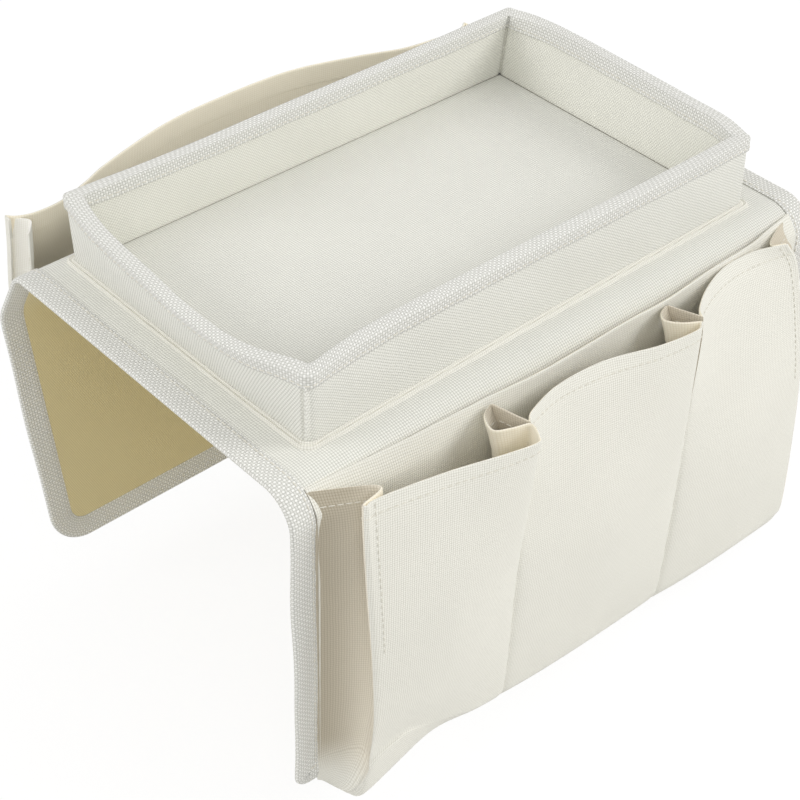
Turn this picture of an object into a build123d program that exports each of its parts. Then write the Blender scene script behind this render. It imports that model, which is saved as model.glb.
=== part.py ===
from build123d import *
from math import cos, hypot, radians, sin
import os

# Armrest saddle with a walled tray on top and cloth pockets on both flaps
# X runs along the arm, the near flap hangs at minus Y and the far flap at plus Y
# The origin is the centre of the underside that rests on the arm
os.makedirs("parts", exist_ok=True)

# Tray: four stiffened walls and a stiffened floor, sewn to the top of the saddle
tray_length = 300.0
tray_width = 185.0
tray_height = 41.0
wall_cloth = 0.9
wall_board = 3.4
board_play = 0.3
floor_board = 1.8
floor_cloth = 0.7
tray_corner_radius = 4.5
tray_inner_radius = 2.7
rim_leg = 13.0
rim_bevel = 1.6
flange_width = 5.0
flange_cloth = 0.9

# Saddle cloth: two plies, bound all round with a folded tape. Its flat top runs on past the tray
end_margin = 30.0
near_margin = 6.5
far_margin = 1.5
face_ply = 1.0
lining_ply = 1.3
tape = 0.7
tape_leg = 13.5
corner_radius = 22.0
overrun = 400.0

# Near side: a quarter bend and a flap that falls straight
near_bend_radius = 19.0
near_bend_angle = 90.0
near_drop = 172.0

# Far side: a short bend, a sloping shoulder, then a flap that leans in under the arm
far_bend_radius = 12.0
far_bend_angle = 60.0
shoulder_length = 30.0
shoulder_radius = 21.0
shoulder_angle = 40.5
far_drop = 144.0

# Pocket cloth
pocket_ply = 1.1
hem_ply = 0.6
hem_height = 12.0
lay = 0.3
straightness = 0.05

# Tablet pocket: one panel across the near flap, drawn at its rim, its waist and its bottom seam
tablet_rim = -1.0
tablet_depth = 8.0
tablet_depth_shares = (0.7, 1.0, 0.2)
waist_share = 0.45

# Organizer pockets: three pouches with folded ends, sewn to the tablet pocket between them
organizer_rim = -2.0
pouch_depth = 36.0
divider_left = -63.0
divider_right = 57.0
sag_left = 1.0
sag_middle = 6.0
sag_right = 11.0
seam_gap = 0.5

# Magazine pocket on the far flap, with a bellows end at each side
magazine_rim = 11.0
magazine_rim_start = 115.5
magazine_inset = 19.0
magazine_depth = 40.0
bellows_tuck = 6.0
bellows_room = 1.0

saddle_ply = face_ply + lining_ply
saddle_length = tray_length + 2 * end_margin
half_length = saddle_length / 2
near_flat = tray_width / 2 + near_margin
far_flat = tray_width / 2 + far_margin
near_face = near_flat + near_bend_radius
near_bottom = saddle_ply - near_bend_radius - near_drop
pieces = {}


def below(point, heading, depth):
    """The point that lies depth under the cloth's outer face, where the cloth runs along heading."""
    turn = radians(heading)
    return (point[0] - depth * sin(turn), point[1] - depth * cos(turn))


def walk(start, heading, steps, depth):
    """Edges of one side of the cloth, seen along X. A step is (length, 0) or (outer radius, turn)."""
    edges = []
    point = start
    for size, turn in steps:
        if turn:
            centre = below(point, heading, size)
            stops = [below(centre, heading + turn * share, depth - size) for share in (0, 0.5, 1)]
            edges.append(ThreePointArc(*stops))
            heading = heading + turn
            point = below(centre, heading, -size)
        else:
            ahead = (point[0] + size * cos(radians(heading)), point[1] - size * sin(radians(heading)))
            edges.append(Line(below(point, heading, depth), below(ahead, heading, depth)))
            point = ahead
    return edges, point, heading


def layer(course, top, bottom, half):
    """A ply between two depths under the outer face, as long as the saddle or shorter."""
    start, heading, steps = course
    upper = walk(start, heading, steps, top)[0]
    lower = walk(start, heading, steps, bottom)[0]
    ends = [Line(upper[0] @ 0, lower[0] @ 0), Line(upper[-1] @ 1, lower[-1] @ 1)]
    section = Plane.YZ * make_face(upper + lower + ends)
    return extrude(section, amount=half, both=True)


def slab_outline(inset, bottom):
    """Everything inside the saddle's edge, inset all round. Bottom corners are round on a flap."""
    width = saddle_length - 2 * inset
    if bottom is None:
        return Box(width, 2 * overrun, 2 * overrun)
    low = bottom + inset
    shape = RectangleRounded(width, 2 * overrun, corner_radius - inset)
    return extrude(Plane.XZ * Pos(0, low + overrun) * shape, amount=overrun, both=True)


def plies(course, bottom=None):
    """Face cloth, lining and binding tape of one stretch of the saddle."""
    edge = slab_outline(tape, bottom)
    inside = slab_outline(tape_leg, bottom)
    face = layer(course, 0.0, face_ply, half_length) & edge
    whole = layer(course, -tape, saddle_ply, half_length) & slab_outline(0.0, bottom)
    core = layer(course, 0.0, saddle_ply - tape, half_length) & edge
    binding = whole - inside - core
    lining = (layer(course, face_ply, saddle_ply, half_length) & edge) - binding
    return face, lining, binding


def near_side(shape):
    """The same shape on the near side of the arm."""
    return mirror(shape, about=Plane.XZ)


def add(names, shapes):
    """Keep each shape under its node's name."""
    for name, shape in zip(names, shapes):
        pieces[name] = shape


# Saddle top, with the two bends and the two flaps that hang from it
top_level = saddle_ply
near_start = (near_flat, top_level)
near_bend = [(near_bend_radius, near_bend_angle)]
near_end, near_heading = walk(near_start, 0.0, near_bend, 0.0)[1:]
far_start = (far_flat, top_level)
far_bend = [(far_bend_radius, far_bend_angle)]
far_end, far_heading = walk(far_start, 0.0, far_bend, 0.0)[1:]
far_flap = [(shoulder_length, 0), (shoulder_radius, shoulder_angle), (far_drop, 0)]
far_tip, far_lean = walk(far_end, far_heading, far_flap, 0.0)[1:]
far_bottom = below(far_tip, far_lean, saddle_ply)[1]
shoulder_end = walk(far_end, far_heading, far_flap[:2], 0.0)[1]

top_course = ((-near_flat, top_level), 0.0, [(near_flat + far_flat, 0)])
add(("saddle_top_cloth", "saddle_top_lining", "saddle_top_binding"), plies(top_course))

near_names = ("near_bend_cloth", "near_bend_lining", "near_bend_binding")
add(near_names, [near_side(s) for s in plies((near_start, 0.0, near_bend))])
far_names = ("far_bend_cloth", "far_bend_lining", "far_bend_binding")
add(far_names, plies((far_start, 0.0, far_bend)))

near_names = ("near_flap_cloth", "near_flap_lining", "near_flap_binding")
near_course = (near_end, near_heading, [(near_drop, 0)])
add(near_names, [near_side(s) for s in plies(near_course, near_bottom)])
far_names = ("far_flap_cloth", "far_flap_lining", "far_flap_binding")
add(far_names, plies((far_end, far_heading, far_flap), far_tip[1]))


# Tray walls: an outer cloth, an inner cloth and four boards between them
def ring(grow, thickness, radius, inner_radius, low, high):
    """A band round the tray with round corners. Its outer face stands grow outside the tray's."""
    length = tray_length + 2 * grow
    width = tray_width + 2 * grow
    outer = RectangleRounded(length, width, radius)
    hole = RectangleRounded(length - 2 * thickness, width - 2 * thickness, inner_radius)
    return extrude(Pos(0, 0, low) * (outer - hole), amount=high - low)


wall = 2 * wall_cloth + wall_board + 2 * board_play
tray_base = top_level
wall_top = tray_base + tray_height - tape
inner_length = tray_length - 2 * wall
inner_width = tray_width - 2 * wall
cloth_top = wall_top - rim_bevel
pieces["tray_outer_wall_cloth"] = ring(
    0.0, wall_cloth, tray_corner_radius, tray_corner_radius - wall_cloth, tray_base, cloth_top
)
pieces["tray_inner_wall_cloth"] = ring(
    wall_cloth - wall, wall_cloth, tray_inner_radius + wall_cloth, tray_inner_radius, tray_base, cloth_top
)
board_height = wall_top - tray_base - board_play
board_level = tray_base + board_height / 2
board_inset = wall_cloth + board_play + wall_board / 2
long_board = tray_length - 2 * tray_corner_radius
side_board = tray_width - 2 * (wall_cloth + board_play + wall_board + board_play)
for name, side in (("near", -1), ("far", 1)):
    place = Pos(0, side * (tray_width / 2 - board_inset), board_level)
    pieces[f"tray_wall_board_{name}"] = place * Box(long_board, wall_board, board_height)
for name, side in (("left", -1), ("right", 1)):
    place = Pos(side * (tray_length / 2 - board_inset), 0, board_level)
    pieces[f"tray_wall_board_{name}"] = place * Box(wall_board, side_board, board_height)

# Tray floor: a board under a cloth that meets the inner wall cloth
floor_level = tray_base + floor_board
floor_plate = RectangleRounded(inner_length - 2 * board_play, inner_width - 2 * board_play, tray_inner_radius)
pieces["tray_floor_board"] = extrude(Pos(0, 0, tray_base) * floor_plate, amount=floor_board)
floor_sheet = RectangleRounded(inner_length, inner_width, tray_inner_radius)
pieces["tray_floor_cloth"] = extrude(Pos(0, 0, floor_level) * floor_sheet, amount=floor_cloth)

# Rim binding: tape folded over the walls, with a leg down each side
rim_outer = ring(
    tape, wall + 2 * tape, tray_corner_radius + tape, tray_inner_radius - tape,
    wall_top - rim_leg, wall_top + tape,
)
rim_slot = ring(0.0, wall, tray_corner_radius, tray_inner_radius, wall_top - rim_leg, wall_top)
rim_outer = chamfer(rim_outer.faces().sort_by(Axis.Z)[-1].edges(), rim_bevel)
rim_slot = chamfer(rim_slot.faces().sort_by(Axis.Z)[-1].edges(), wall_cloth + board_play)
pieces["tray_rim_binding"] = rim_outer - rim_slot

# Base flange: the seam allowance that is sewn down round the tray
pieces["tray_base_flange"] = ring(
    flange_width, flange_width, tray_corner_radius + flange_width, tray_corner_radius,
    tray_base, tray_base + flange_cloth,
)


# Pocket panels: thin lofts through level sections, drawn as lists of (x, lift) spots
def bow(start, middle, end):
    """An arc through three spots, or a straight line where they lie in line."""
    run, rise = end[0] - start[0], end[1] - start[1]
    swing = (middle[0] - start[0]) * rise - (middle[1] - start[1]) * run
    if abs(swing) < straightness * run:
        return Line(start, end)
    return ThreePointArc(start, middle, end)


def outline(spots, straight_ends):
    """Arcs through the spots, three at a time. The first and the last span can be straight lines."""
    front = spots[1:-1] if straight_ends else spots
    arcs = [bow(*front[at:at + 3]) for at in range(0, len(front) - 1, 2)]
    if straight_ends:
        return [Line(*spots[:2])] + arcs + [Line(*spots[-2:])]
    return arcs


def inset(spots, thickness, gussets):
    """The spots moved in by the cloth's thickness, mitred at each turn. Gussets end on the flap's face."""
    normals = []
    for (x, y), (u, v) in zip(spots, spots[1:]):
        reach = hypot(u - x, v - y)
        normals.append(((v - y) / reach, (x - u) / reach))
    inner = []
    for (x, y), (a, b) in ((spots[0], normals[0]), (spots[-1], normals[-1])):
        inner.append((x + thickness / a, y) if gussets else (x, y + thickness / b))
    for (x, y), (a, b), (c, d) in zip(spots[1:-1], normals, normals[1:]):
        mitre = thickness / (1 + a * c + b * d)
        inner.insert(-1, (x + mitre * (a + c), y + mitre * (b + d)))
    return inner


def section(points, level, face, thickness, straight_ends, gussets):
    """A closed band in a level plane. Lift is measured outwards from face, and the band grows inwards."""
    outer = [(x, face + lift) for x, lift in points]
    inner = inset(outer, thickness, gussets)
    ends = [Line(outer[0], inner[0]), Line(outer[-1], inner[-1])]
    edges = outline(outer, straight_ends) + outline(inner, straight_ends) + ends
    return Pos(0, 0, level) * make_face(edges)


def panel(levels, shapes, thickness, faces, straight_ends=False, gussets=False):
    """A cloth panel through level sections, from its rim down."""
    drawn = zip(shapes, levels, faces)
    sections = [
        section(points, level, face, thickness, straight_ends, gussets) for points, level, face in drawn
    ]
    return loft(sections, ruled=True)


def between(high, low, share):
    """Points a share of the way from one level's shape to the next one's."""
    return [(x + (u - x) * share, y + (v - y) * share) for (x, y), (u, v) in zip(high, low)]


def hem(rim, drop, high, low, faces, straight_ends=False):
    """A folded facing that hangs behind a panel's rim. Drop is how far the next level is below the rim."""
    lower = between(high, low, hem_height / drop)
    return panel((rim, rim - hem_height), (high, lower), hem_ply, faces, straight_ends)


# Tablet pocket: its ends follow the flap, its middle stands a little proud
tablet_half = half_length - tape_leg - lay
tablet_bottom = near_bottom + tape_leg + lay
waist_level = tablet_rim + (tablet_bottom - tablet_rim) * waist_share
tablet_levels = (tablet_rim, waist_level, tablet_bottom - lay)
tablet_ends = (lay + hem_ply, lay, lay)
tablet_spot_shares = (-1.0, -0.5, 0.0, 0.5, 1.0)


def tablet_lift(x, order):
    """How far the tablet panel's outer face stands off the flap at x, on one of its levels."""
    swell = tablet_depth * tablet_depth_shares[order] - tablet_ends[order]
    return pocket_ply + tablet_ends[order] + swell * (1 - (x / tablet_half) ** 2)


def tablet_points(order, inwards=0.0):
    """Spots across the tablet panel on one level, moved inwards for its hem."""
    spots = [(tablet_half + lay) * share for share in tablet_spot_shares]
    return [(x, tablet_lift(x, order) - inwards) for x in spots]


orders = range(len(tablet_levels))
tablet_shapes = [tablet_points(order) for order in orders]
tablet = panel(tablet_levels, tablet_shapes, pocket_ply, [near_face] * len(tablet_levels))
pieces["tablet_pocket_panel"] = near_side(tablet & slab_outline(tape_leg + lay, near_bottom))
tablet_hem_lines = [tablet_points(order, pocket_ply + lay / 2) for order in (0, 1)]
tablet_hem = hem(tablet_rim, tablet_rim - waist_level, *tablet_hem_lines, [near_face] * 2)
pieces["tablet_pocket_hem"] = near_side(tablet_hem)


def tablet_stand(x, level):
    """The tablet panel's outer face at x on any level, by straight lines between its own levels."""
    for order in range(1, len(tablet_levels)):
        if level >= tablet_levels[order] or order == len(tablet_levels) - 1:
            break
    high, low = tablet_levels[order - 1], tablet_levels[order]
    share = min(1.0, max(0.0, (high - level) / (high - low)))
    return tablet_lift(x, order - 1) * (1 - share) + tablet_lift(x, order) * share


# Organizer pouches: each front runs from corner to corner, with a gusset back to the seam at each end
# Each table has one row a level, from the rim down, in shares of the pouch's depth
pouches = {
    "left": {
        "ends": (-tablet_half, divider_left - seam_gap / 2),
        "sag": sag_left,
        "corner_run_shares": ((0.33, -0.08), (0.08, 0.03), (0.14, 0.08)),
        "corner_lift_shares": ((0.5, 0.96), (0.72, 0.86), (0.58, 0.66)),
        "belly_lift_shares": (0.82, 0.96, 0.76),
    },
    "middle": {
        "ends": (divider_left + seam_gap / 2, divider_right - seam_gap / 2),
        "sag": sag_middle,
        "corner_run_shares": ((0.11, 0.03), (0.06, 0.03), (0.11, 0.11)),
        "corner_lift_shares": ((0.67, 0.78), (0.78, 0.78), (0.67, 0.67)),
        "belly_lift_shares": (0.52, 0.94, 0.8),
    },
    "right": {
        "ends": (divider_right + seam_gap / 2, tablet_half),
        "sag": sag_right,
        "corner_run_shares": ((0.17, 0.39), (0.08, 0.08), (0.11, 0.06)),
        "corner_lift_shares": ((0.67, 0.31), (0.78, 0.72), (0.72, 0.72)),
        "belly_lift_shares": (0.2, 0.89, 0.86),
    },
}


def pouch_points(pouch, order, level):
    """Seam, corner, middle of the front, corner and seam of one pouch on one level."""
    left, right = pouch["ends"]
    runs = pouch["corner_run_shares"][order]
    lifts = pouch["corner_lift_shares"][order]
    corner_left = left + pouch_depth * runs[0]
    corner_right = right - pouch_depth * runs[1]
    return [
        (left, tablet_stand(left, level) + lay),
        (corner_left, pouch_depth * lifts[0]),
        ((corner_left + corner_right) / 2, pouch_depth * pouch["belly_lift_shares"][order]),
        (corner_right, pouch_depth * lifts[1]),
        (right, tablet_stand(right, level) + lay),
    ]


for name, pouch in pouches.items():
    floor = near_bottom - pouch["sag"]
    levels = (organizer_rim, waist_level, floor)
    shapes = [pouch_points(pouch, order, level) for order, level in enumerate(levels)]
    walls = panel(levels, shapes, pocket_ply, [near_face] * len(levels), True, True)
    spots = [(x, near_face + lift) for x, lift in shapes[-1]]
    base_face = make_face(outline(spots, True) + [Line(spots[-1], spots[0])])
    base = extrude(Pos(0, 0, floor) * base_face, amount=-pocket_ply)
    pieces[f"organizer_pocket_{name}"] = near_side(walls + base)


# Magazine pocket: a front panel that swells out from the far flap and a bellows at each end
shoulder_level = shoulder_end[1]
seam_level = far_tip[1] + tape_leg + lay
magazine_half = half_length - magazine_inset
magazine_waist = (shoulder_level + seam_level) / 2


def far_face(level):
    """Where the far flap's outer face is on a level below its shoulder."""
    share = (shoulder_level - level) / (shoulder_level - far_tip[1])
    return shoulder_end[0] + (far_tip[0] - shoulder_end[0]) * share


# Corner lifts are shares of the pocket's depth, measured from the flap or from its widest place
magazine_levels = (magazine_rim, shoulder_level, magazine_waist, seam_level - lay)
magazine_bases = [far_face(min(level, shoulder_level)) for level in magazine_levels]
corner_lift_shares = (0.39, 0.52, 0.5)
corner_lifts = [magazine_depth * share for share in corner_lift_shares] + [lay + pocket_ply]
magazine_corners = [base + lift for base, lift in zip(magazine_bases, corner_lifts)]
magazine_spot_shares = (-1.0, -0.82, 0.0, 0.82, 1.0)
magazine_swell_shares = (
    (0.0, -0.15, 0.58, -0.08, 0.0),
    (0.0, 0.05, 0.53, 0.05, 0.0),
    (0.0, 0.12, 0.45, 0.12, 0.0),
    (0.0, 0.0, 0.0, 0.0, 0.0),
)


def magazine_points(order, inwards=0.0):
    """Spots across the magazine pocket's front on one level."""
    base = magazine_corners[order] - inwards
    spots = zip(magazine_spot_shares, magazine_swell_shares[order])
    return [(magazine_half * share, base + magazine_depth * swell_share) for share, swell_share in spots]


magazine_shapes = [magazine_points(order) for order in range(len(magazine_levels))]
magazine = panel(magazine_levels, magazine_shapes, pocket_ply, [0.0] * len(magazine_levels), True)
pieces["magazine_pocket_panel"] = magazine & slab_outline(tape_leg + lay, far_tip[1])
magazine_hem_lines = [magazine_points(order, pocket_ply + lay / 2) for order in (0, 1)]
magazine_hem = hem(magazine_rim, magazine_rim - shoulder_level, *magazine_hem_lines, [0.0] * 2, True)
hem_reach = Box(2 * magazine_half * magazine_spot_shares[-2], overrun, overrun)
pieces["magazine_pocket_hem"] = magazine_hem & hem_reach


def bellows_start(order, level):
    """Where the bellows begins on a level: free at the rim, and close to the flap below its shoulder."""
    if order == 0:
        return magazine_rim_start
    return far_face(level) + lay + (bellows_room if order == 1 else 0.0)


def bellows_section(order, level):
    """One end of the magazine pocket on one level: in from the flap, tucked, and out to the panel."""
    start = bellows_start(order, level)
    end = magazine_corners[order] - pocket_ply - lay - bellows_room
    tuck = min(bellows_tuck, (end - start) / 2)
    outer = [(magazine_half, start), (magazine_half - tuck, (start + end) / 2), (magazine_half, end)]
    inner = [(x - pocket_ply, y) for x, y in outer]
    edges = [Line(*side[at:at + 2]) for side in (outer, inner) for at in (0, 1)]
    edges += [Line(outer[0], inner[0]), Line(outer[2], inner[2])]
    return Pos(0, 0, level) * make_face(edges)


bellows = loft([bellows_section(*place) for place in enumerate(magazine_levels[:-1])], ruled=True)
pieces["magazine_pocket_gusset_right"] = bellows
pieces["magazine_pocket_gusset_left"] = mirror(bellows, about=Plane.YZ)

for node, shape in pieces.items():
    shape.label = node
    export_step(shape, f"parts/{node}.step")
    print(node, len(shape.solids()), round(shape.volume, 1))
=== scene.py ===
# %% [markdown]
# # Dressing a sofa arm tray
# The object is a cloth saddle that lies over the arm of a sofa. A walled tray is sewn to its top, three
# pouches and a wide pocket hang on the near side, and a deep pocket hangs on the far side.
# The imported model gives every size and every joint. This lesson puts real cloth over it: woven, bound,
# stitched and a little slack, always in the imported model's own frame.

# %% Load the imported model
from functools import partial

import bpy
import numpy as np
from mathutils import Matrix, Vector


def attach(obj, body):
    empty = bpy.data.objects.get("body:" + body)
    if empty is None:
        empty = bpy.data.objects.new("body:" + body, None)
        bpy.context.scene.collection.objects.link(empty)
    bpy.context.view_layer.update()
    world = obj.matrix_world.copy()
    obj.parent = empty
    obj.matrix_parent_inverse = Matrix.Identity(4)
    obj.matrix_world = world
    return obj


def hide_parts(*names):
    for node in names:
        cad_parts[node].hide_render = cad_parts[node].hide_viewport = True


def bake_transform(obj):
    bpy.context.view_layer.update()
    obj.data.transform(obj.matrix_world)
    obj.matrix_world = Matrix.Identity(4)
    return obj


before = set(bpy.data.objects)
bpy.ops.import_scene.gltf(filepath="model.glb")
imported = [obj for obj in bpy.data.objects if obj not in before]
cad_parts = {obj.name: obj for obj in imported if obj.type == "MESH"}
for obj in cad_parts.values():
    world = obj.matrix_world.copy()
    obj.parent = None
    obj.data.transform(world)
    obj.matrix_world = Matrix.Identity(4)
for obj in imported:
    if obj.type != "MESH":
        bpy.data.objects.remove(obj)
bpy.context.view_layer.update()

# %% [markdown]
# ## One way to make every piece
# Cloth has two faces and a thin edge, so each piece here is a closed shell. A grid of points has one row
# for each step along the piece and one column for each step round its section. Subdividing a plane and
# adding Solidify would also work, but a worked-out section lets each layer have its own place and colour.

# %% Turn a grid of points into a closed shell
MM = 0.001


def linked(name, data):
    """A new object for some data, put into the scene."""
    made = bpy.data.objects.new(name, data)
    bpy.context.scene.collection.objects.link(made)
    return made


SHARP = 50.0


def shell(name, grid, flat, finish=0, ring=False, strip=False):
    """A mesh from a grid (steps along, steps round, 3) in mm. Each row closes on itself.

    flat is the place of each point on the uncut cloth, with one more column (and row, for a ring).
    The ends are capped by one face, or by a strip of faces where the section is two facing sides.
    strip may also list the cap's faces, because one face over a bowed section would span its hollow.
    The sum of the faces' signed cones tells which way they point, and below 0 they are all turned.
    Edges bent by more than SHARP degrees are shaded sharp."""
    steps, around = grid.shape[:2]
    row, column = np.meshgrid(np.arange(steps - (not ring)), np.arange(around), indexing="ij")
    corners = ((0, 0), (1, 0), (1, 1), (0, 1))
    quads = np.stack([(row + a) % steps * around + (column + b) % around for a, b in corners], -1)
    spots = np.stack([(row + a) * (around + 1) + column + b for a, b in corners], -1)
    quads, spots = quads.reshape(-1, 4), spots.reshape(-1, 4)
    marks = np.broadcast_to(np.asarray(finish), (len(quads) // around, around)).reshape(-1)
    places = flat.reshape(-1, 2)
    caps = []
    for end in () if ring else (0, steps - 1):
        if strip is True:
            k = np.arange(around // 2 - 1)
            cap = np.stack([k, k + 1, around - 2 - k, around - 1 - k], -1).tolist()
        else:
            cap = strip or [list(range(around))]
        caps += [[end * around + c for c in (face if end == 0 else face[::-1])] for face in cap]
    points = grid.reshape(-1, 3)
    middle = points - points.mean(0)
    a, b, c, d = (middle[quads[:, k]] for k in range(4))
    volume = (np.cross(a, b) * c).sum() + (np.cross(a, c) * d).sum()
    for cap in caps:
        corner = middle[cap]
        volume += (np.cross(corner[0][None], corner[1:-1]) * corner[2:]).sum()
    faces = quads.tolist() + caps
    corner_spots = spots.tolist() + [
        [c // around * (around + 1) + c % around for c in cap] for cap in caps
    ]
    if volume < 0:
        faces = [face[::-1] for face in faces]
        corner_spots = [face[::-1] for face in corner_spots]
    mesh = bpy.data.meshes.new(name)
    mesh.from_pydata((points * MM).tolist(), [], faces)
    layer = mesh.uv_layers.new(name="cloth")
    layer.data.foreach_set("uv", places[np.concatenate(corner_spots)].ravel() * MM)
    marks = np.concatenate([marks, np.full(len(caps), marks[0])]).astype(np.int32)
    mesh.polygons.foreach_set("material_index", marks)
    mesh.shade_smooth()
    mesh.set_sharp_from_angle(angle=np.radians(SHARP))
    return linked(name, mesh)


def ply(name, outer, inner, flat):
    """A layer between two facing grids: out along the outer face and back along the inner one."""
    section = np.concatenate([outer, inner[:, ::-1]], axis=1)
    return shell(name, section, np.concatenate([flat, flat[:, ::-1], flat[:, :1]], axis=1), strip=True)


def lengths(points):
    """Distance along a line of points, from its first point."""
    return np.concatenate([[0.0], np.cumsum(np.linalg.norm(np.diff(points, axis=0), axis=-1))])


def loop_lengths(points):
    """Distance along a line of points and back to its first one."""
    return lengths(np.concatenate([points, points[:1]]))


def uncut(along, across):
    """Places on the flat cloth, from a length for each step along and one for each step round."""
    return np.stack(np.broadcast_arrays(along[:, None], across[None, :]), -1)


def smooth(value, low, high):
    """0 below low, 1 above high, and an S-curve between."""
    t = np.clip((value - low) / (high - low), 0, 1)
    return t * t * (3 - 2 * t)


def crowded(count, edge=0.01):
    """count + 4 numbers from -1 to 1 that crowd towards both ends, for rolled edges."""
    t = np.linspace(-1, 1, count)
    near = 1 - edge * np.array([0.0, 0.3, 1.0])
    return np.concatenate([-near, t[1:-1] * (1 - 2 * edge), near[::-1]])


print("shell helpers ready")

# %% [markdown]
# ## Cloth that knows where it lies
# The saddle is one flat cloth bent over an arm. Every layer, tape and stitch on it is easier to place on
# the flat cloth, as x along the arm and a length down from the middle of the top, and to fold afterwards.
# So one function folds a place on the flat cloth into space. Curves with a Shrinkwrap would follow too,
# but not with each layer at its exact depth.

# %% Fold the flat cloth over the arm
SADDLE_HALF = 180.0
TOP = 2.3
CORNER = {"near": 7.5, "far": 22.0}
COURSES = {
    "near": ((99.0, 0.0), (19.0, 90.0), (176.0, 0.0)),
    "far": ((94.0, 0.0), (12.0, 60.0), (30.0, 0.0), (21.0, 40.5), (144.0, 0.0)),
}


def course(steps):
    """Length, y, z and heading along one side. The heading turns by 1 / radius per mm in a bend,
    y adds up its cosine and z takes away its sine."""
    spans = [size * np.radians(turn) if turn else size for size, turn in steps]
    knots = np.concatenate([[0.0], np.cumsum(spans)])
    turns = np.radians(np.concatenate([[0.0], np.cumsum([turn for _, turn in steps])]))
    length = np.arange(0.0, knots[-1], 0.02)
    length = np.append(length, knots[-1])
    heading = np.interp(length, knots, turns)
    middle = (heading[1:] + heading[:-1]) / 2
    step = np.diff(length)
    y = np.concatenate([[0.0], np.cumsum(np.cos(middle) * step)])
    z = TOP - np.concatenate([[0.0], np.cumsum(np.sin(middle) * step)])
    return length, y, z, heading


LINES = {side: course(steps) for side, steps in COURSES.items()}
DROP = {side: line[0][-1] for side, line in LINES.items()}
OUT = {"near": -1.0, "far": 1.0}


def ripple(side, x, along):
    """Slack near the cloth's free ends: slow waves that grow outside the pockets, in mm."""
    free = smooth(np.abs(x), 166.0, 182.0) * smooth(along, 120.0, 170.0)
    wave = np.sin(along / 23.0 + 0.5 * OUT[side] + x / 90.0) + 0.5 * np.sin(along / 11.0 + 1.3)
    return 0.8 * free * wave


def fold(side, x, along, height):
    """The point x along the arm and along mm down the cloth, height mm outside its outer face."""
    length, y, z, heading = LINES[side]
    turn = np.interp(along, length, heading)
    height = height + ripple(side, x, along)
    across = np.interp(along, length, y) + height * np.sin(turn)
    level = np.interp(along, length, z) + height * np.cos(turn)
    x, across, level = np.broadcast_arrays(x, OUT[side] * across, level)
    return np.stack([x, across, level], -1)


for side in LINES:
    print(side, "side falls", round(DROP[side], 1), "mm to", np.round(fold(side, 0.0, DROP[side], 0.0), 1))

# %% [markdown]
# ## Saddle cloths
# The face is an off-white Oxford cloth and the lining a thinner khaki one. Each half is one sheet from the
# middle of the top, where the tray hides most of the join, down to the rounded foot of the flap.


def half_width(side, along, inset):
    """Half the flat cloth's width at a length: straight sides, then a quarter circle at the foot."""
    radius = CORNER[side] - inset
    low = np.clip(along - (DROP[side] - CORNER[side]), 0, radius)
    return SADDLE_HALF - inset - radius + np.sqrt(np.maximum(radius**2 - low**2, 0.0))


def rows_down(side, inset, step):
    """Lengths down one side, closer together where the foot is round."""
    foot = DROP[side] - CORNER[side]
    plain = np.arange(0.0, foot, step)
    turn = foot + (CORNER[side] - inset) * np.sin(np.linspace(0, np.pi / 2, 12))
    return np.concatenate([plain, turn])


def half_sheet(name, side, inset, top, bottom, step):
    """One ply of one half, between two depths below the outer face. Its rows are step mm apart and its
    columns 1.5 times as far."""
    along = rows_down(side, inset, step)[:, None]
    x = half_width(side, along, inset) * crowded(int(2 * SADDLE_HALF / step / 1.5))[None, :]
    flat = np.stack(np.broadcast_arrays(x, OUT[side] * along), -1)
    return ply(name, fold(side, x, along, top), fold(side, x, along, bottom), flat)


def bend(piece):
    """Bake a piece's placing into its mesh, so that it stays where it is."""
    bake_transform(piece)
    return piece


# Inset from the saddle's edge, depth of both faces of the ply, and step of its grid.
FACE_PLY, LINING_PLY = (0.8, 0.0, -1.0, 2.5), (0.9, -1.05, -1.95, 4.0)
face, lining = {}, {}
for side in LINES:
    face[side] = half_sheet(f"{side}_saddle_cloth", side, *FACE_PLY)
    lining[side] = half_sheet(f"{side}_saddle_lining", side, *LINING_PLY)
print("saddle sheets", [len(piece.data.polygons) for piece in (*face.values(), *lining.values())])

# %% [markdown]
# ## Binding tape round the edge
# A woven tape folds over the raw edge and is sewn through every layer. It is a profile carried along the
# edge: a flat letter U with a rounded bend. Drawing it on the flat cloth first keeps it at one width
# round the corners, which a Bevel on a curve would not do on a folded sheet.

# %% Carry the tape's section along the edge
def edge_path(side, inset=0.0):
    """The edge of one half on the flat cloth: down the right, round the foot and up the left.
    Gives points (x, along), directions in towards the cloth, and lengths."""
    foot = DROP[side]
    radius = CORNER[side] - inset
    half = SADDLE_HALF - inset
    down = np.arange(0.0, foot - CORNER[side], 1.5)
    turn = np.linspace(0, np.pi / 2, 16)
    across = np.linspace(half - radius, radius - half, 150)[1:-1]
    right = np.stack([np.full_like(down, half), down], -1)
    bend_in = np.stack([-np.cos(turn), -np.sin(turn)], -1)
    centre = np.array([half - radius, foot - CORNER[side]])
    corner = centre - radius * bend_in
    below = np.stack([across, np.full_like(across, foot - inset)], -1)
    points = np.concatenate([right, corner, below, (corner * (-1, 1))[::-1], (right * (-1, 1))[::-1]])
    inward = np.concatenate([
        np.broadcast_to((-1.0, 0.0), right.shape), bend_in, np.broadcast_to((0.0, -1.0), below.shape),
        (bend_in * (-1, 1))[::-1], np.broadcast_to((1.0, 0.0), right.shape),
    ])
    return points, inward, lengths(points)


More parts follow.
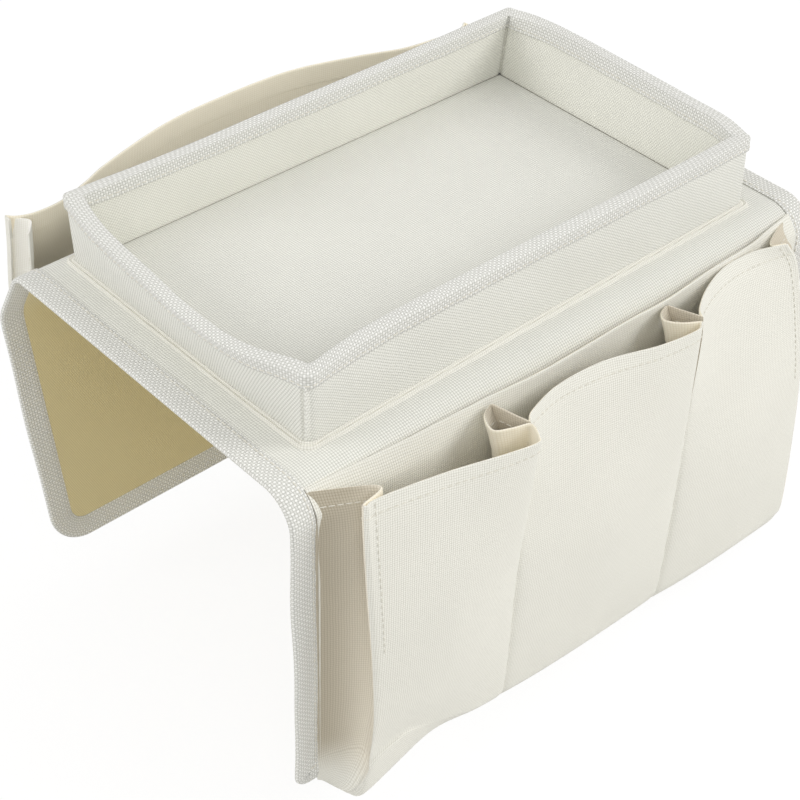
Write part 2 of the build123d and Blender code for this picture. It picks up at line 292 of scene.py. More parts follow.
turn = np.linspace(np.pi / 2, 3 * np.pi / 2, 9)
TAPE_SECTION = np.concatenate([
    [(13.5, 0.12), (13.3, 0.58), (12.8, 0.72), (11.2, 0.6), (8.0, 0.78), (4.5, 0.8)],
    np.stack([1.55 + 1.55 * np.cos(turn), -0.8 + 1.5 * np.sin(turn)], -1),
    [(4.5, -2.3), (9.0, -2.3), (12.9, -2.28), (13.3, -2.0), (13.2, -1.95), (9.0, -1.97)],
    [(3.0, -1.96), (1.1, -1.3), (0.9, -0.8), (1.1, -0.2), (3.0, 0.04), (9.0, 0.03)],
])


def edge_tape(name, side):
    """Sweep the section along the edge. The tape puckers a little between stitches."""
    points, inward, run = edge_path(side)
    inset, height = TAPE_SECTION[:, 0], TAPE_SECTION[:, 1]
    x = points[:, :1] + inward[:, :1] * inset
    along = points[:, 1:] + inward[:, 1:] * inset
    calm = smooth(along, 4.0, 14.0)
    pucker = 0.1 * np.sin(run[:, None] / 1.9) * np.exp(-((inset - 9.5) / 3.5) ** 2) * (height > 0.1)
    wave = 0.18 * np.sin(run[:, None] / 17.0 + inset / 6.0) * (height > 0.1)
    grid = fold(side, x, np.abs(along), height + calm * (pucker + wave))
    return shell(name, grid, uncut(run, loop_lengths(TAPE_SECTION))), run[-1]


TAPE_WIDTH = 0.0305
binding = {}
for side in LINES:
    binding[side], length = edge_tape(f"{side}_saddle_binding", side)
    size, under = (length * MM, TAPE_WIDTH), [face[side], lining[side]]
    print(side, "tape", round(length), "mm")

# %% [markdown]
# ## Stitches
# A seam reads as a row of short raised threads. Each stitch is a small capsule that follows the seam's
# own curve, and one seam is one mesh, worked out for all its stitches at once. Instancing a capsule along
# a curve would look the same, but one mesh bends better with the cloth.

# %% A row of capsules along a line
STITCH_RINGS = np.array([-1.0, -0.82, -0.4, 0.0, 0.4, 0.82, 1.0])
STITCH_FATNESS = np.array([0.15, 0.75, 1.0, 1.05, 1.0, 0.75, 0.15])


def stitches(name, line, normal, pitch=3.9, size=3.1, thick=0.62, lift=0.12):
    """Capsules along a line of points. Each capsule's rings lie at shares of its own length, and each
    ring is a hexagon in the plane of the surface normal and the sideways direction."""
    run = lengths(line)
    count = max(1, int(run[-1] / pitch))
    centre = (np.arange(count) + 0.5) * run[-1] / count
    at = centre[:, None] + STITCH_RINGS[None, :] * size / 2
    at = np.clip(at, 0, run[-1])
    place = np.stack([np.interp(at, run, line[:, k]) for k in range(3)], -1)
    up = np.stack([np.interp(at, run, normal[:, k]) for k in range(3)], -1)
    up /= np.linalg.norm(up, axis=-1, keepdims=True)
    ahead = np.gradient(place, axis=1)
    side = np.cross(ahead, up)
    side /= np.linalg.norm(side, axis=-1, keepdims=True)
    dip = (STITCH_RINGS**2)[None, :, None] * thick * 0.55
    place = place + up * (lift + thick * 0.2 - dip)
    angle = np.linspace(0, 2 * np.pi, 7)[:-1]
    radius = thick / 2 * STITCH_FATNESS[None, :, None, None]
    cosine, sine = np.cos(angle)[:, None], np.sin(angle)[:, None]
    points = place[:, :, None] + radius * (cosine * side[:, :, None] + sine * up[:, :, None])
    rings, sides = len(STITCH_RINGS), 6
    k, j = np.meshgrid(np.arange(rings - 1) * sides, np.arange(sides), indexing="ij")
    after = (j + 1) % sides
    quads = np.stack([k + j, k + after, k + sides + after, k + sides + j], -1)
    base = (np.arange(count) * rings * sides)[:, None]
    quads = (base[:, :, None] + quads.reshape(1, -1, 4)).reshape(-1, 4)
    first = base + np.arange(sides)[::-1][None, :]
    last = base + (rings - 1) * sides + np.arange(sides)[None, :]
    faces = quads.tolist() + first.tolist() + last.tolist()
    mesh = bpy.data.meshes.new(name)
    mesh.from_pydata((points.reshape(-1, 3) * MM).tolist(), [], faces)
    mesh.shade_smooth()
    return linked(name, mesh)


SEAM_INSET, TAPE_FACE = 11.3, 0.62
threads = {}
for side in LINES:
    points, inward, _ = edge_path(side)
    place = (points + inward * SEAM_INSET)[2:-2].T
    line, above = fold(side, *place, TAPE_FACE), fold(side, *place, TAPE_FACE + 1)
    threads[side] = stitches(f"{side}_binding_stitches", line, above - line)
    print(threads[side].name, len(threads[side].data.polygons))

# %% [markdown]
# ## Tray walls
# The walls are cloth over board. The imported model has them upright, but the cloth of a real tray relaxes:
# the two short walls lean out in their middles and the two long ones lean in a little. Each layer is a ring
# round the tray, with the same number of points, so any layer can be found between the outer and the
# inner ring, and one lean moves them all together.

# %% Rings round the tray
TRAY_BASE, TRAY_HEIGHT, WALL = 2.3, 41.0, 5.8
LONG, SHORT, TURN = 96, 60, 17


def ring(half_x, half_y, radii):
    """A rectangle with round corners: four quarter circles joined by straight runs, anticlockwise from
    the right side's far end."""
    parts = []
    for corner, radius in enumerate(radii):
        sign_x, sign_y = ((1, 1), (-1, 1), (-1, -1), (1, -1))[corner]
        angle = np.radians(90 * corner) + np.linspace(0, np.pi / 2, TURN)
        centre = np.array([sign_x * (half_x - radius), sign_y * (half_y - radius)])
        parts.append(centre + radius * np.stack([np.cos(angle), np.sin(angle)], -1))
    joined = []
    for corner in range(4):
        start, end = parts[corner][-1], parts[(corner + 1) % 4][0]
        count = SHORT if corner % 2 else LONG
        share = crowded(count - 2, 0.03)[1:-1, None] / 2 + 0.5
        joined += [parts[corner], start + (end - start) * share]
    return np.concatenate(joined)


OUTER = ring(150.0, 92.5, (2.6, 3.0, 5.5, 2.6))
INNER = ring(144.2, 86.7, (1.4, 1.8, 3.0, 1.4))
RUN = loop_lengths(OUTER)
SIDES = {}
for corner, name in enumerate(("far", "left", "near", "right")):
    start = corner * TURN + TURN + sum(SHORT if c % 2 else LONG for c in range(corner))
    SIDES[name] = np.arange(start, start + (SHORT if corner % 2 else LONG))
CORNER_AT = {"far_right": SIDES["far"][0] - TURN // 2 - 1, "near_left": SIDES["near"][0] - TURN // 2 - 1}


def eased(at, knots, values):
    """A cubic through uneven knots: each span is a Hermite curve with the slopes of its neighbours."""
    knots, values = np.asarray(knots, float), np.asarray(values, float)
    slope = np.gradient(values, knots)
    cell = np.clip(np.searchsorted(knots, at) - 1, 0, len(knots) - 2)
    span = knots[cell + 1] - knots[cell]
    t = (at - knots[cell]) / span
    return ((1 + 2 * t) * (1 - t) ** 2 * values[cell] + t * (1 - t) ** 2 * span * slope[cell]
            + t**2 * (3 - 2 * t) * values[cell + 1] + t**2 * (t - 1) * span * slope[cell + 1])


# How far the wall tops lean outwards, at shares of each side's length (anticlockwise), and at the corners.
LEANS = {
    "far": ((0, 0.12, 0.5, 0.88, 1), (-2.2, -2.6, -2.8, -1.8, 0)),
    "left": ((0, 0.06, 0.16, 0.28, 0.44, 0.58, 0.68, 0.8, 0.88, 0.95, 1),
             (1.5, 4.3, 7.6, 9.5, 11.3, 13.0, 13.1, 11.8, 8.8, 4.0, 0.6)),
    "near": ((0, 0.07, 0.24, 0.5, 0.8, 0.94, 1), (0, -3.2, -5.2, -4.6, -3.2, -2.8, -3.0)),
    "right": ((0, 0.08, 0.25, 0.5, 0.75, 0.88, 0.96, 1), (1.5, 6.4, 8.2, 10.6, 11.4, 9.4, 5.6, 2.6)),
}
assert len(OUTER) == SIDES["right"][-1] + 1
OUTWARD = {"far": (0, 1), "left": (-1, 0), "near": (0, -1), "right": (1, 0)}
LEAN_POWER = {"far": 1.2, "left": 1.05, "near": 0.9, "right": 1.2}
CORNER_LEANS = ((2.6, -2.2), (-1.5, 0.0), (-0.6, 0.0), (1.5, 3.0))
LEAN_AT = np.zeros_like(OUTER)
STRAIGHT = np.zeros(len(OUTER))
CORNER_POWER = 1.2
POWER = np.full(len(OUTER), CORNER_POWER)
for corner, (name, pick) in enumerate(SIDES.items()):
    gap = np.linalg.norm(OUTER[pick] - OUTER[pick[0]], axis=1)
    share = gap / gap[-1]
    start, end = np.array(CORNER_LEANS[corner]), np.array(CORNER_LEANS[(corner + 1) % 4])
    across = np.abs(OUTWARD[name])
    LEAN_AT[pick] = (start + (end - start) * share[:, None]) * (1 - across)
    LEAN_AT[pick] += eased(share, *LEANS[name])[:, None] * np.array(OUTWARD[name])
    LEAN_AT[pick[0] - TURN:pick[0]] = start
    from_end = np.minimum(share, 1 - share)
    STRAIGHT[pick] = smooth(from_end, 0.0, 0.09)
    POWER[pick] += (LEAN_POWER[name] - CORNER_POWER) * smooth(from_end, 0.0, 0.2)
LEAN_SIZE = np.linalg.norm(LEAN_AT, axis=1)


def wall_point(into, level):
    """A point into mm behind the outer wall face and at a level, for every ring point.
    The lean grows with height to a power: a wall that curls at its top has a large one. A leaning
    wall also stands lower, by the square of its lean over twice its height."""
    into, level = np.broadcast_arrays(into, level)
    share = (into / WALL)[..., None]
    spot = OUTER[:, None] * (1 - share) + INNER[:, None] * share
    up = np.clip((level - TRAY_BASE) / TRAY_HEIGHT, 0, 1.1)
    spot = spot + LEAN_AT[:, None] * (up ** POWER[:, None])[..., None]
    drop = LEAN_SIZE[:, None] ** 2 / (2 * TRAY_HEIGHT) * up
    return np.concatenate([spot, (level - drop)[..., None]], -1)


def wall_layer(name, into, level):
    """A closed section of (into, level) pairs, one for each ring point or one for all, carried round."""
    grid = wall_point(into, level)
    section = loop_lengths(grid[grid.shape[0] // 8])
    return shell(name, grid, uncut(RUN, section), ring=True)


def wall_cloth(name, one, other, level):
    """A cloth between two faces, each the depth behind the outer wall face for every ring point and level."""
    level = np.broadcast_to(level, one.shape)
    into = np.concatenate([one, other[:, ::-1]], 1)
    return wall_layer(name, into, np.concatenate([level, level[:, ::-1]], 1))


def near_corner(name, width, shift=0):
    """1 at one corner of the ring, or shift points after it, falling to 0 like a bell over width mm."""
    gap = np.linalg.norm(OUTER - OUTER[CORNER_AT[name] + shift], axis=1)
    return np.exp(-((gap / width) ** 2))[:, None]


straight = STRAIGHT[:, None]
run = RUN[:-1, None]
level = np.array([2.3, 3.0, 5.0, 9.0, 14.0, 19.0, 24.0, 29.0, 33.0, 36.0, 39.0, 41.0])[None, :]
belly = np.sin(np.pi * (level - TRAY_BASE) / TRAY_HEIGHT) ** 0.8
wave = np.sin(run / 9.0 + level / 7.0) * np.sin(run / 31.0)
wave = wave + 0.7 * np.sin(run / 17.0 - level / 5.0) * np.sin(run / 47.0 + 1.0)
out_face = -(0.7 * belly * straight) - 0.24 * wave * belly * straight
welt = 1.5 * near_corner("near_left", 0.8) - 1.0 * near_corner("near_left", 0.9, -3)
out_face = out_face - welt * np.clip(belly * 1.6, 0, 1)
outer_wall = wall_cloth("tray_outer_wall", out_face, 0.9 - 0.2 * belly * straight, level)

FLOOR_SEAM = 4.0
level = np.array([4.3, 4.9, 5.8, 8.0, 12.0, 16.5, 21.0, 25.5, 30.0, 34.0, 37.5, 41.0])[None, :]
belly = np.sin(np.pi * (level - FLOOR_SEAM) / (level[0, -1] - FLOOR_SEAM)).clip(0) ** 0.5
wave = np.sin(run / 13.0 - level / 9.0) + 0.8 * np.sin(run / 7.0 + level / 6.0) * np.sin(run / 29.0)
face_in = WALL + 0.3 + 0.8 * belly * straight + 0.22 * wave * belly * straight
face_in = face_in - 1.5 * near_corner("far_right", 1.3) - 0.4 * near_corner("near_left", 1.3)
inner_wall = wall_cloth("tray_inner_wall", face_in, face_in - 0.9, level)
print("walls", len(outer_wall.data.polygons), len(inner_wall.data.polygons))

# %% [markdown]
# ## Rim tape, base seam and floor
# A second tape hides the raw top of the walls. It is the same folded profile, but closed into a ring. The
# foot of the wall is sewn down through a narrow turned edge that shows as two fine ridges. The floor
# cloth lies on its board and rolls down at the walls, which leaves the dark line that a real tray has.

# %% The rim tape
RIM_SECTION = np.array([
    (0.0, 35.3), (-0.75, 35.3), (-1.0, 35.7), (-0.92, 37.2), (-1.0, 38.8), (-1.0, 40.8), (-0.98, 42.4),
    (-0.8, 42.95), (-0.3, 43.22), (0.9, 43.3), (2.9, 43.42), (4.9, 43.3), (6.1, 43.22), (6.6, 42.95),
    (6.78, 42.4), (6.85, 40.8), (6.9, 38.8), (6.85, 37.2), (7.0, 35.7), (6.8, 35.3), (6.1, 35.3),
    (6.0, 37.0), (6.0, 40.6), (5.6, 42.1), (4.6, 42.6), (1.2, 42.6), (0.2, 42.1), (-0.1, 40.6), (-0.1, 37.0),
])
depth, height = RIM_SECTION.T
wave = 0.22 * np.sin(run / 12.0) + 0.16 * np.sin(run / 5.3 + 1.0)
skirt = np.clip((37.2 - height) / 1.9, 0, 1)
top_wave = 0.16 * np.sin(run / 21.0 + depth / 4.0) * (height > 42.8) * straight
swell_in = (depth > WALL) * 0.5 * straight * np.clip((43 - height) / 6, 0, 1)
crease = (depth > 5.0) * (height < 42.8) * near_corner("far_right", 1.3)
into = depth + swell_in - crease
level = height + wave * skirt + top_wave
rim_tape = wall_layer("tray_rim_tape", np.broadcast_to(into, level.shape), level)


def wall_seam(name, into, level, off, **options):
    """Stitches round the wall at one depth and level. off is the depth of a point just outside it."""
    line = wall_point(into, level)[:, 0]
    outside = wall_point(off, level)[:, 0]
    line, outside = (np.concatenate([spot, spot[:1]]) for spot in (line, outside))
    return stitches(name, line, outside - line, **options)


RIM_SEAM_LEVEL = 37.4
rim_out_seam = wall_seam("rim_outer_stitches", -0.86, RIM_SEAM_LEVEL, -2.0)
seam_in = WALL + 1.05 + 0.5 * straight
rim_in_seam = wall_seam("rim_inner_stitches", seam_in, RIM_SEAM_LEVEL, seam_in + 2.0)

# %% The base seam
base_into = np.array([0.3, 0.3, -0.1, -0.5, -1.0, -1.4, -1.65, -1.9, -2.3, -2.8, -3.2, -3.4])
base_level = np.array([2.3, 3.9, 4.35, 4.5, 4.3, 3.7, 3.25, 3.6, 4.0, 3.9, 3.35, 2.3])
base_seam = wall_layer("tray_base_seam", base_into[None, :], base_level[None, :])
base_stitches = wall_seam("base_seam_stitches", -1.66, 3.3, -2.6, thick=0.5)

# %% The floor cloth
FLOOR_HALF = (143.4, 85.9)
u, v = crowded(60, 0.012)[:, None], crowded(40, 0.02)[None, :]
edge_gap = np.minimum(FLOOR_HALF[0] * (1 - np.abs(u)), FLOOR_HALF[1] * (1 - np.abs(v)))
roll = 1 - smooth(edge_gap, -0.2, 2.6)
x, y = np.broadcast_arrays(FLOOR_HALF[0] * u, FLOOR_HALF[1] * v)
slack = 0.35 * np.sin(x / 31.0 + 1.0) * np.sin(y / 27.0) * smooth(edge_gap, 0, 25)
top = np.stack([x, y, 4.85 + slack - 0.65 * roll**2], -1)
under = np.stack([x, y, np.full_like(x, 4.1)], -1)
floor_cloth = ply("tray_floor", top, under, np.stack([x, y], -1))
print("floor", len(floor_cloth.data.polygons))

# %% [markdown]
# ## Smooth surfaces through measured lines
# A pocket is known at a few levels: where its cloth starts, turns and ends. A smooth surface through those
# spots gives every point between. The weights of a Catmull-Rom spline form one small matrix for the rows
# and one for the columns, so the whole surface is two matrix products.

# %% Spline weights
def weights(count, at):
    """Catmull-Rom weights (samples, count): each sample mixes the four nearest spots, and beyond an end
    the line goes on straight."""
    at = np.clip(at, 0, count - 1)
    cell = np.minimum(at.astype(int), count - 2)
    t = at - cell
    mix = np.stack([
        (-t + 2 * t**2 - t**3) / 2, (2 - 5 * t**2 + 3 * t**3) / 2,
        (t + 4 * t**2 - 3 * t**3) / 2, (t**3 - t**2) / 2,
    ], -1)
    table = np.zeros((len(at), count + 2))
    sample = np.arange(len(at))[:, None]
    np.add.at(table, (sample, cell[:, None] + np.arange(4)), mix)
    inner = table[:, 1:-1].copy()
    inner[:, 0] += 2 * table[:, 0]
    inner[:, 1] -= table[:, 0]
    inner[:, -1] += 2 * table[:, -1]
    inner[:, -2] -= table[:, -1]
    return inner


def surface(spots, row_at, column_at):
    """Spots (levels, columns, 3) to a grid (columns, rows, 3)."""
    rows, columns = weights(spots.shape[0], row_at), weights(spots.shape[1], column_at)
    return np.einsum("rl,lck,sc->srk", rows, spots, columns)


def rows_for(levels, wanted):
    """Where on the spline through the levels each wanted level is found."""
    fine = np.linspace(0, len(levels) - 1, 2000)
    reached = weights(len(levels), fine) @ np.asarray(levels)
    return np.interp(-np.asarray(wanted), -reached, fine)


def outward_normals(grid, away):
    """Unit normals of a grid, turned to the side that away points to."""
    normal = np.cross(np.gradient(grid, axis=0), np.gradient(grid, axis=1))
    normal /= np.linalg.norm(normal, axis=-1, keepdims=True) + 1e-9
    turn = np.sign((normal * away).sum(-1, keepdims=True).mean())
    return normal * turn


NEARWARD, FARWARD = (0, -1, 0), (0, 1, 0)
BEND_STEPS = 5


def hemmed(name, outer, away, thick, hem_thick, hem_row, sides=()):
    """A panel that folds over at its rim and hangs down inside as a hem. outer is (columns, rows, 3) from
    the rim down. Finish 0 is the outside, 1 the inside, and 2 the outside of the columns in sides.
    Each end is closed by faces that join an outer row to the row behind it, the fold and the hem's edge."""
    normal = outward_normals(outer, away)
    up = outer[:, :1] - outer[:, 1:2]
    up /= np.linalg.norm(up, axis=-1, keepdims=True)
    radius = (thick + hem_thick) / 2
    angle = np.linspace(0, np.pi, BEND_STEPS + 2)[1:-1][None, :, None]
    middle = outer[:, :1] - normal[:, :1] * radius
    fold_over = middle + radius * (normal[:, :1] * np.cos(angle) + up * np.sin(angle))
    hem = outer[:, :hem_row + 1] - normal[:, :hem_row + 1] * (thick + hem_thick)
    inside = outer[:, hem_row:] - normal[:, hem_row:] * thick
    grid = np.concatenate([outer[:, ::-1], fold_over, hem, inside], 1)
    flat = uncut(lengths(outer[:, 3]), loop_lengths(grid[grid.shape[0] // 2]))
    finish = np.concatenate([np.zeros(outer.shape[1] + 2), np.ones(grid.shape[1] - outer.shape[1] - 2)])
    finish = np.tile(finish.astype(int), (grid.shape[0] - 1, 1))
    for part in sides:
        finish[part] = np.where(finish[part] == 0, 2, finish[part])
    last = outer.shape[1] - 1
    hem_top = last + 1 + BEND_STEPS
    facing = [hem_top + k + (k >= hem_row) for k in range(last)]
    ends = [[last - 1 - k, last - k, other, other + 1] for k, other in enumerate(facing)]
    ends += [[*range(last, hem_top + 1)], [last - hem_row, hem_top + hem_row, hem_top + hem_row + 1]]
    return shell(name, grid, flat, finish, strip=ends)


print("spline row sums", weights(5, np.linspace(0, 4, 4)).sum(1))

# %% [markdown]
# ## The wide pocket on the near flap
# One ivory panel with a beige back lies across the flap behind the pouches. Its rim stands a little off the
# cloth and its two ends lie close to it. A lattice would do this, but a swell added to the flap's own face
# keeps the ends exactly on it.

# %% Wide pocket panel
def flap_face(side, level):
    """How far a flap's face stands from the arm's middle at a level, from the start of its bend down."""
    length, y, z, _ = LINES[side]
    hanging = length > COURSES[side][0][0]
    return np.interp(-level, -z[hanging], y[hanging])


WIDE_LEVELS = np.array([-0.7, -9.0, -16.7, -45.0, -79.0, -130.0, -174.6])
WIDE_X = np.array([-166.2, -150.0, -110.0, -66.0, -33.0, 0.0, 31.0, 60.0, 97.0, 129.0, 150.0, 166.2])
WIDE_RIM = np.array([111.0, 111.8, 115.0, 117.6, 120.6, 121.0, 120.6, 121.6, 118.8, 117.8, 114.4, 112.2])
rim_swell = WIDE_RIM - flap_face("near", -0.7) - 1.2
dome = 1 - (WIDE_X / 168.0) ** 4
swells = [rim_swell, rim_swell * 0.3 + 0.8 * dome, *(dome * size for size in (2.6, 4.2, 5.0, 3.6, 0.3))]
WIDE_GAP = 1.25
spots = np.stack([
    np.stack([WIDE_X, -(flap_face("near", level) + WIDE_GAP + swell.clip(0)), WIDE_X * 0 + level], -1)
    for level, swell in zip(WIDE_LEVELS, swells)
])
wanted = np.concatenate([np.linspace(-0.7, -12.7, 7), np.linspace(-16.7, -174.6, 40)])
wide_grid = surface(spots, rows_for(WIDE_LEVELS, wanted), np.linspace(0, len(WIDE_X) - 1, 110))
wide_pocket = hemmed("wide_pocket_panel", wide_grid, NEARWARD, thick=0.9, hem_thick=0.6, hem_row=6)
print("wide pocket", len(wide_pocket.data.polygons))

# %% [markdown]
# ## Three pouches
# Each pouch is one cloth: a gusset out from the flap, a front that bellies, and a gusset back. Below, it
# turns under and runs back to the flap's foot. At the two outer corners front and gusset are pinched
# together into a sewn ridge, and at the inner corners the gusset folds in as a pleat.

# %% Pouch tables
SEAM, FACE = 166.2, 118.0
POUCHES = {
    "left": dict(
        ends=(-SEAM, -63.0), ridge=(True, False),
        rows=(
            (14.0, 17.8, 16.8, 19.9, 25.4, 32.5, 36.8, 33.5, 2.6),
            (12.2, 20.5, 20.6, 24.0, 29.0, 34.0, 35.6, 32.5, 1.8),
            (11.6, 23.5, 25.0, 28.5, 32.5, 34.5, 34.0, 30.5, 0.9),
            (12.2, 26.0, 28.0, 31.5, 34.5, 33.5, 31.0, 28.5, 0.4),
            (12.7, 26.5, 28.0, 31.0, 33.0, 32.0, 30.0, 28.0, 0.4),
            (11.5, 25.0, 25.4, 27.0, 29.4, 29.5, 28.5, 27.0, 0.4),
            (10.0, 26.0, 27.0, 27.6, 27.6, 27.0, 26.4, 25.4, 0.4),
            (8.0, 20.0, 21.5, 22.0, 22.0, 22.0, 22.0, 21.5, 0.4),
        ),
        rim_start=((-167.4, -6.6), (-153.5, 1.5), (-141.4, 9.2), (-140.8, 12.8), (-152.6, 15.0)),
        rim_end=((-57.9, 24.6), (-66.5, 20.9), (-74.2, 16.5), (-70.5, 7.6), (-63.0, 3.4)),
    ),
    "middle": dict(
        ends=(-63.0, 57.0), ridge=(False, False),
        rows=(
            (5.4, 24.0, 19.0, 13.8, 15.5, 25.2, 28.9, 26.0, 3.2),
            (4.4, 26.0, 21.5, 18.5, 22.0, 28.0, 29.5, 27.0, 2.2),
            (2.0, 27.5, 26.5, 27.5, 29.5, 31.0, 30.5, 28.0, 1.0),
            (-0.4, 28.5, 30.5, 32.5, 34.5, 32.5, 31.0, 28.5, 0.4),
            (-0.4, 28.0, 30.0, 32.5, 34.0, 32.5, 30.5, 28.0, 0.4),
            (-0.4, 27.0, 28.5, 29.5, 30.0, 29.5, 28.5, 27.0, 0.4),
            (-0.4, 25.4, 26.4, 27.2, 27.4, 27.2, 26.6, 25.6, 0.4),
            (-0.4, 21.5, 22.0, 22.5, 22.5, 22.5, 22.5, 22.0, 0.4),
        ),
        rim_start=((-63.0, 3.4), (-61.8, 9.0), (-60.6, 14.5), (-59.2, 20.2), (-58.2, 23.4)),
        rim_end=((60.6, 24.4), (53.0, 19.4), (48.0, 12.8), (51.0, 7.8), (57.0, 5.6)),
    ),
    "right": dict(
        ends=(57.0, SEAM), ridge=(False, True),
        rows=(
            (6.9, 23.4, 17.5, 8.9, 2.8, 3.4, 8.8, 11.2, -20.6),
            (5.6, 25.6, 20.5, 14.5, 11.0, 11.5, 13.5, 14.5, -13.0),
            (2.6, 27.0, 26.0, 23.5, 21.5, 20.5, 19.5, 19.5, -7.0),
            (-0.4, 28.5, 30.0, 30.5, 30.0, 27.5, 25.5, 24.5, -3.2),
            (-0.4, 28.0, 30.5, 32.5, 33.5, 32.0, 29.0, 27.5, -2.2),
            (-0.4, 27.0, 28.5, 30.0, 31.0, 30.5, 29.5, 28.5, -1.5),
            (-0.4, 25.6, 26.8, 28.0, 28.6, 28.4, 27.6, 26.8, -2.0),
            (-0.4, 22.0, 22.5, 23.5, 24.0, 24.0, 24.0, 23.5, -3.0),
        ),
        rim_start=((57.0, 5.6), (58.8, 11.0), (60.6, 16.0), (62.2, 20.2), (63.2, 22.8)),
        rim_end=((146.0, 9.0), (139.8, 6.2), (141.6, 3.4), (153.5, -1.8), (167.4, -6.6)),
    ),
}
FRONT_SHARES = np.array([0.06, 0.25, 0.5, 0.75, 0.94])
WAIST, EDGE, FOOT = -95.8, -188.0, -190.5
OVER_WIDE = 3.7
LEVELS = np.array([-2.0, -16.7, -52.0, -95.8, -140.0, -174.0, -182.0, -188.0, -191.5, -190.5, -187.6])
STAND_SHARE = np.array([1, 1, 1, 1, 1, 1, 1, 1, 0.64, 0.3, 0.08])
TUCK_FADE = np.array([1, 0.85, 0.5, 0.16, 0.04, 0, 0, 0, 0, 0, 0])
RIDGE_FADE = np.array([1, 0.95, 0.74, 0.4, 0.1, 0, 0, 0, 0, 0, 0])
FOLD_IN = np.array([0, 1, 4.0, 8.0, 10.5, 9.5, 7.0, 3.0, 0, 0, 0])


def foot_line(x):
    """Height of the pouches' lower front edge: it sags in a bag corner at the left and falls to the right."""
    return np.interp(x, [-166, -151, -128, -106, -89, -75, -45, -9, 86, 172],
                     [-188, -196, -189, -183, -187.5, -192, -195, -198, -203, -206])


def level_of(x, row):
    """Height of a spot on one row. Rows below the waist follow the foot line, and at the left corner the
    rows above the edge climb, so that the cloth there breaks into a slanting fold."""
    share = np.clip((WAIST - LEVELS[row]) / (WAIST - EDGE), 0, 1) ** 1.5
    height = LEVELS[row] + share * (foot_line(x) - FOOT) * (row < 10)
    climb = np.interp(x, [-167, -160, -150, -131, -115, -98], [0, 6, 19, 19, 9, 0])
    climb = climb * {4: 0.25, 5: 0.85, 6: 1.0}.get(row, 0.0)
    sag = -8.0 * np.exp(-(((x + 154) / 16) ** 2)) * {7: 0.3, 8: 1.0, 9: 0.8}.get(row, 0.0)
    return height + climb + sag


def plain_row(pouch, row):
    """Spots on one level without the rim's tucks: seam, gusset, corner, front, corner, gusset, seam.
    The seams lie on the flap, and OVER_WIDE mm further out where the wide pocket lies between."""
    left, right = pouch["ends"]
    numbers = np.array(pouch["rows"][min(row, 7)]) * np.array([1, *[STAND_SHARE[row]] * 7, 1])
    numbers[1:8] = np.maximum(numbers[1:8], 1.8)
    a, b = np.array([left + numbers[0], numbers[1]]), np.array([right + numbers[8], numbers[7]])
    stand = flap_face("near", max(LEVELS[row], EDGE)) - FACE + 0.4
    stand = stand + OVER_WIDE * (LEVELS[row] > -170) * (1 - (np.array([left, right]) / 168.0) ** 4)
    start = np.array([left - 1.2 * pouch["ridge"][0], stand[0]])
    end = np.array([right + 1.2 * pouch["ridge"][1], stand[1]])
    shares = np.array([0.3, 0.62, 0.88])[:, None]
    side_a, side_b = start + (a - start) * shares, end + (b - end) * shares[::-1]
    fold_in = np.array([0.8, 1.0, 0.4]) * FOLD_IN[row]
    side_a[:, 0] += fold_in * pouch["ridge"][0]
    side_b[:, 0] -= fold_in[::-1] * pouch["ridge"][1]
    front = np.stack([a[0] + (b[0] - a[0]) * FRONT_SHARES, numbers[2:7]], -1)
    toward = [(spot - corner) / np.linalg.norm(spot - corner) for corner, spot in
              ((a, side_a[-1]), (a, front[0]), (b, front[-1]), (b, side_b[0]))]
    corners_a = [a + toward[0] * 0.9, a + toward[1] * 0.9]
    corners_b = [b + toward[2] * 0.9, b + toward[3] * 0.9]
    return np.concatenate([[start], side_a, corners_a, front, corners_b, side_b, [end]])


def pouch_spots(pouch):
    """All the levels, with the rim's measured tucks fading out downwards."""
    table = []
    rim = plain_row(pouch, 0)
    shift = np.zeros_like(rim)
    ends = slice(5), slice(-5, None)
    for end, tucks in zip(ends, (pouch["rim_start"], pouch["rim_end"])):
        shift[end] = np.array(tucks) - rim[end]
    for row in range(len(LEVELS)):
        fade = np.full((len(rim), 1), TUCK_FADE[row])
        for end, ridge in zip(ends, pouch["ridge"]):
            fade[end] = RIDGE_FADE[row] if ridge else TUCK_FADE[row]
        spots = plain_row(pouch, row) + shift * fade
        table.append(np.stack([spots[:, 0], -(FACE + spots[:, 1]), level_of(spots[:, 0], row)], -1))
    return np.array(table)


# %% Pouch panels
# A pouch's level has 16 parts between its spots, each part 12 columns, and its sides end halfway into
# the fifth part from each seam.
PARTS, PART = 16, 12
SIDE_COLUMNS = 9 * PART // 2


def pouch_panel(name, pouch):
    """The whole pouch as one hemmed panel, and its outer face for the stitches."""
    spots = pouch_spots(pouch)
    wanted = np.concatenate([np.linspace(-2.0, -14.0, 9), np.linspace(-17.0, -172.0, 56)])
    top_rows = rows_for(LEVELS[:6], wanted)
    under = np.linspace(top_rows[-1], len(LEVELS) - 1, 34)[1:]
    columns = np.linspace(0, PARTS, PARTS * PART + 1)
    grid = surface(spots, np.concatenate([top_rows, under]), columns)
    sides = slice(SIDE_COLUMNS), slice(PARTS * PART - SIDE_COLUMNS, None)
    layers = {"thick": 0.8, "hem_thick": 0.5, "hem_row": 8}
    return hemmed(f"organizer_pouch_{name}", grid, NEARWARD, sides=sides, **layers), grid


pouches, pouch_grids = {}, {}
for name, pouch in POUCHES.items():
    pouches[name], pouch_grids[name] = pouch_panel(name, pouch)
    print(name, "pouch", len(pouches[name].data.polygons))

# %% Pouch stitches
pouch_seams = []


